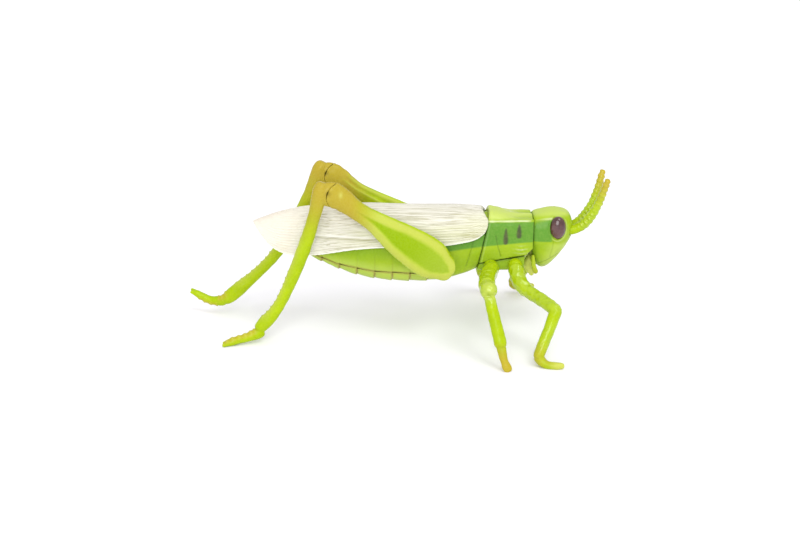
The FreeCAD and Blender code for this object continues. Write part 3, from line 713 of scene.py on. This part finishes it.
# The knee of a jumping leg, in mm from its pin.
THIGH_END_R = 4.2
SHIN_HEAD_R = 4.4
PIT_BACK = 3.95  # the small pit behind and above the pin
PIT_UP = 1.3


def round_off(skin, way, ahead, across, half, kept):
    """Pulls the corners of the thigh's hip end in to half an ellipse, ahead of its widest place."""
    reach = ahead[kept].max()
    beyond = np.hypot(ahead / reach, across / half)
    pull = kept * (ahead > 0) * np.maximum(1 - 1 / np.maximum(beyond, 0.01), 0)
    skin.co[:, 0] -= pull * (ahead * way[0] - across * way[1])
    skin.co[:, 2] -= pull * (ahead * way[1] + across * way[0])
    skin.settle()


# The sunk panel on the thigh's outer face: (mm from the knee pin, half height as a share of the thigh's).
PANEL_EDGE = [(4.0, 0.0), (5.5, 0.08), (10.0, 0.2), (15.5, 0.36), (21.0, 0.56), (28.0, 0.6), (34.5, 0.58),
              (37.5, 0.42), (39.4, 0.0)]


def femur(side):
    """u runs from the knee pin to the hip, v across the thigh and w out from its middle plane."""
    s = Skin(f"hind_femur_{side}_skin", f"thigh_{side}", "limb_lime",
             [f"hind_femur_{side}", f"knee_pin_{side}"], voxel=0.17)
    knee, hip = joint_point(f"knee_{side}"), joint_point(f"hip_{side}")
    way = np.array([hip[0] - knee[0], hip[2] - knee[2]])
    way /= np.linalg.norm(way)
    px, pz = s.co[:, 0] - knee[0], s.co[:, 2] - knee[2]
    u = px * way[0] + pz * way[1]
    v = -px * way[1] + pz * way[0]
    w = np.abs(s.co[:, 1]) - abs(knee[1])
    blade = w > -2.25
    low, high = edges_along(u[blade], v[blade])
    full_low, full_high = np.zeros(len(u)), np.zeros(len(u))
    full_low[blade], full_high[blade] = low, high
    middle, half = (full_low + full_high) / 2, np.maximum((full_high - full_low) / 2, 0.5)
    t = (v - middle) / half
    widest = np.argmax(half)
    round_off(s, way, u - u[widest], v - middle[widest], half[widest], blade)
    outer = step(0.3, 1.1, w) * blade
    inner = step(0.3, 1.1, -w) * blade
    border = value_on(PANEL_EDGE, u)
    off_middle = np.abs(t - np.interp(u, [5, 15, 25], [0.09, 0.04, 0.03]))
    # inside: the sunk panel, painted a deeper lime as painted shade.
    inside = step(border + 0.1, border - 0.2, off_middle) * step(0.0, 0.1, border) * outer
    # rim: painted highlight along the raised rim round the panel.
    rim = outer * step(4.0, 13.0, u) * step(1.06, 0.9, np.abs(t)) * (1 - inside)
    radius = np.hypot(px, pz)
    facing = (s.normal[:, 0] * px + s.normal[:, 2] * pz) / np.maximum(radius, 0.1)
    end = bell(radius - THIGH_END_R, 0.15) * step(0.5, 0.9, facing) * (px < 0)
    # On the inner face the ridges are painted lighter and the valleys darker, as painted light and shade.
    ridge = inner * (bell(t - 0.3, 0.1) + bell(t - 0.85, 0.16)) * step(0.0, 4.0, u)
    valley = inner * np.maximum(bell(t - 0.58, 0.13), step(0.15, -0.1, t)) * step(0.0, 4.0, u)
    pit = np.hypot(px + PIT_BACK, pz - PIT_UP)
    glint = np.hypot(px + 0.2, (pz - 1.0) / 1.6)
    s.push(-0.13 * inside
           + 0.06 * rim
           + 0.2 * ridge - 0.16 * valley
           + 0.075 * end
           - 0.22 * bell(pit, 0.8)
           + 0.04 * waves(s.co, 3.4, 41) * (1 - inside)
           + 0.05 * waves(s.co, 2.4, 43) * step(8.0, 0.0, u))
    ochre = 0.92 * step(14.5, 3.0, u + 2.0 * t)
    # pale carries a painted glint by the knee pin; dark is painted shade in the pit and the valleys.
    limb_paint(s, panel=inside, rim=0.95 * rim + 0.8 * ridge, ochre=ochre * (1 - 0.6 * ridge),
               pale=np.maximum(0.5 * bell(glint, 0.55) * outer, 0.16 * inside * step(24.0, 38.0, u)),
               dark=np.maximum(0.4 * bell(pit, 0.8), 0.12 * valley))
    s.done(LIMB)


SPINE_PITCH = 2.1
KNOB_PITCH = 1.9


def every(arc, pitch, width):
    """A row of bumps along a limb."""
    return bell(np.mod(arc, pitch) - pitch / 2, width)


def tibia(side):
    """turn is the angle round the shin, 0 at its rear edge."""
    s = Skin(f"hind_tibia_{side}_skin", f"shin_{side}", "limb_lime", [f"hind_tibia_{side}"], voxel=0.15,
             smooth=4)
    knee = joint_point(f"knee_{side}")
    drop = knee[2] - s.co[:, 2]
    back = knee[0] - s.co[:, 0]
    arc, offset, tangent, length = traced(s.co, back + 0.9 * drop)
    rear = np.cross(tangent, SIDEWAYS)
    rear *= np.sign(rear[:, :1] * -1 + 1e-9)
    turn = np.arctan2(offset[:, 1], np.einsum("ij,ij->i", offset, rear))
    along = arc / length
    shin = step(0.02, 0.1, along) * step(0.80, 0.74, along)
    foot = step(0.80, 0.85, along)
    spines = every(arc, SPINE_PITCH, 0.32) * (bell(turn - 0.42, 0.2) + bell(turn + 0.42, 0.2))
    knobs = every(arc, KNOB_PITCH, 0.5) * bell(turn, 1.0)
    pit = np.hypot(back - PIT_BACK, drop + PIT_UP)
    radius = np.hypot(back, drop)
    facing = (s.normal[:, 0] * back + s.normal[:, 2] * drop) / np.maximum(radius, 0.1)
    head = bell(radius - SHIN_HEAD_R, 0.15) * step(0.5, 0.9, facing)
    s.push(0.32 * spines * step(0.42, 0.5, along) * shin
           + 0.08 * bell(turn, 0.5) * shin
           + 0.28 * knobs * foot * step(1.0, 0.96, along)
           + 0.075 * head
           - 0.22 * bell(pit, 0.8)
           + 0.05 * waves(s.co, 2.6, 47))
    # rim is a painted highlight along the shin's rear edge; dark is painted shade in the pit.
    limb_paint(s, ochre=0.95 * step(24.0, 5.0, arc),
               orange=0.7 * foot * step(1.8, 0.4, np.abs(turn)),
               rim=0.75 * bell(turn, 0.9) * shin * step(0.2, 0.4, along),
               pale=0.3 * foot * knobs, dark=0.35 * bell(pit, 0.8))
    s.done(LIMB)


# ---- wings ----
# In mm from the neck joint. Half the wing's section, from the ridge down: (out, up).
WING_SECTION = [(0, 0), (3.2, -0.5), (5.85, -2.1), (7.3, -4.9), (7.7, -9.0), (7.5, -16)]
WING_HALF = 7.7
WING_TAPER = [(-86, 2.5), (-78, 4.2), (-66, 6.6), (-53, WING_HALF)]  # (forward, half width)
WING_FOLD = [(-64.3, 0.8), (-47.3, 0.3), (-29.0, 4.3), (-14.4, 5.8)]  # (forward, up)


def wing(side):
    """q runs down a wing's face, from 0 at its ridge to 1 at its lower edge."""
    s = Skin(f"wing_{side}_skin", "body", "wing_film", [f"wing_{side}"], voxel=0.17, smooth=4)
    x, y, z = s.from_neck()
    low, high = edges_along(x, z)
    reach = value_on(WING_TAPER, x)
    _, across, _ = polyline(WING_SECTION, y * WING_HALF / reach, z - high)
    _, bottom, _ = polyline(WING_SECTION, np.full(len(x), 7.6), low - high)
    q = across / np.maximum(bottom, 1.0)
    facing_out = 0.8 * np.sign(s.co[:, 1]) * s.normal[:, 1] + 0.6 * s.normal[:, 2]
    skin_side = step(-0.2, 0.3, facing_out)
    wander = 0.25 * np.sin(x * 0.16 + 1.0) + 0.14 * np.sin(x * 0.43 + q * 9)
    veins = np.cos(2 * math.pi * (19 * q + wander)) * (0.7 + 0.3 * waves(s.co * [0.12, 1, 1], 2.5, 53))
    body_part = step(0.02, 0.08, q) * step(1.0, 0.93, q)
    fold, run, _ = polyline(WING_FOLD[::-1], x, z)
    groove = bell(fold, 0.35) * step(31.0, 24.0, run)
    ridge = bell(fold, 0.3) * step(30.0, 36.0, run)
    edge = step(0.7, 0.3, (1 - q) * np.maximum(bottom, 1.0))
    s.push((0.075 * veins * body_part - 0.16 * groove + 0.2 * ridge + 0.1 * edge) * skin_side)
    under = z < value_on(WING_FOLD, x)
    below = bell(fold - 1.4, 1.0) * under
    nose = 0.3 * step(-26.0, -17.0, x) * step(0.15, 0.5, q)
    green = np.maximum(0.4 * below, np.maximum(0.42 * bell(q - 0.8, 0.2), nose))
    s.paint(vein=np.maximum(np.maximum(0.55 * step(0.1, 0.95, veins), ridge), edge),
            streaky=step(-74.0, -60.0, x) * step(0.0, 0.15, q),
            # crease: painted shade, an olive band below the fold.
            crease=0.6 * bell(fold - 0.75, 0.4) * under * step(-67.0, -63.0, x) * step(-40.0, -46.0, x),
            green=step(-62.0, -48.0, x) * green,
            tint=0.6 * step(-62.0, -80.0, x))
    s.done(WING)


# ---- stage, light and camera ----
FLOOR_HALF = 3.0  # metres


def floor():
    mesh = bpy.data.meshes.new("floor")
    corners = [(a * FLOOR_HALF, b * FLOOR_HALF, 0) for a, b in ((-1, -1), (1, -1), (1, 1), (-1, 1))]
    mesh.from_pydata(corners, [], [(0, 1, 2, 3)])
    piece = bpy.data.objects.new("floor", mesh)
    bpy.context.scene.collection.objects.link(piece)
    s = Shader("white_floor", roughness=0.9, coat=0.0, subsurface=0.0, specular=0.1)
    s.colour(s.mix(s.noise(400.0), *FLOOR_COLOURS))
    mesh.materials.append(s.material)


def aim(thing, place, target):
    thing.location = place
    thing.rotation_mode = "QUATERNION"
    thing.rotation_quaternion = (Vector(target) - Vector(place)).to_track_quat("-Z", "Y")


LAMP_AIM = (0, 0, 0.02)
SKY = 0.9  # strength of the even white light from all round


def lamp(name, place, size, power):
    light = bpy.data.lights.new(name, "AREA")
    light.shape = "DISK"
    light.size = size
    light.energy = power
    thing = bpy.data.objects.new(name, light)
    bpy.context.scene.collection.objects.link(thing)
    aim(thing, place, LAMP_AIM)


def studio():
    world = bpy.data.worlds.new("studio")
    bpy.context.scene.world = world
    world.use_nodes = True
    background = world.node_tree.nodes["Background"]
    background.inputs["Color"].default_value = (1, 1, 1, 1)
    background.inputs["Strength"].default_value = SKY
    lamp("key", place=(0.7, -1.1, 2.1), size=1.2, power=16.0)
    lamp("fill", place=(-0.2, -1.7, 0.75), size=1.1, power=15.0)
    bpy.context.scene.view_settings.view_transform = "Standard"


AZIMUTH = math.radians(-3)  # from the figure's right side, towards its tail
ELEVATION = math.radians(20)
ROLL = math.radians(1.5)
CAMERA_DISTANCE = 0.520
AIM = Vector((0.0014, 0.0, -0.0048))  # from the middle of the CAD box


def camera():
    low, high = CAD_BOX
    target = (low + high) / 2 + AIM
    level = math.cos(ELEVATION)
    back = Vector((math.sin(AZIMUTH) * level, -math.cos(AZIMUTH) * level, math.sin(ELEVATION)))
    right = back.cross(Vector((0, 0, -1))).normalized()
    up = back.cross(right)
    turned_right = right * math.cos(ROLL) + up * math.sin(ROLL)
    turned_up = up * math.cos(ROLL) - right * math.sin(ROLL)
    turn = Matrix((turned_right, turned_up, back)).transposed()
    data = bpy.data.cameras.new("camera")
    data.lens = 78
    data.sensor_width = 36
    data.clip_start = 0.01
    thing = bpy.data.objects.new("camera", data)
    thing.matrix_world = Matrix.Translation(target + back * CAMERA_DISTANCE) @ turn.to_4x4()
    bpy.context.scene.collection.objects.link(thing)
    bpy.context.scene.camera = thing


def plain_node(node, material):
    """A CAD node whose shape is right, with a better material."""
    data = frame["nodes"][node].data
    data.materials.clear()
    data.materials.append(material)


pronotum()
sternum()
abdomen()
belly_plate()
head()
mouthparts()
for side in SIDES:
    antenna(side)
    fore_leg(side)
    mid_leg(side)
    femur(side)
    tibia(side)
    wing(side)
    plain_node(f"eye_{side}", EYE)
plain_node("neck_plug", BODY)
floor()
studio()
camera()
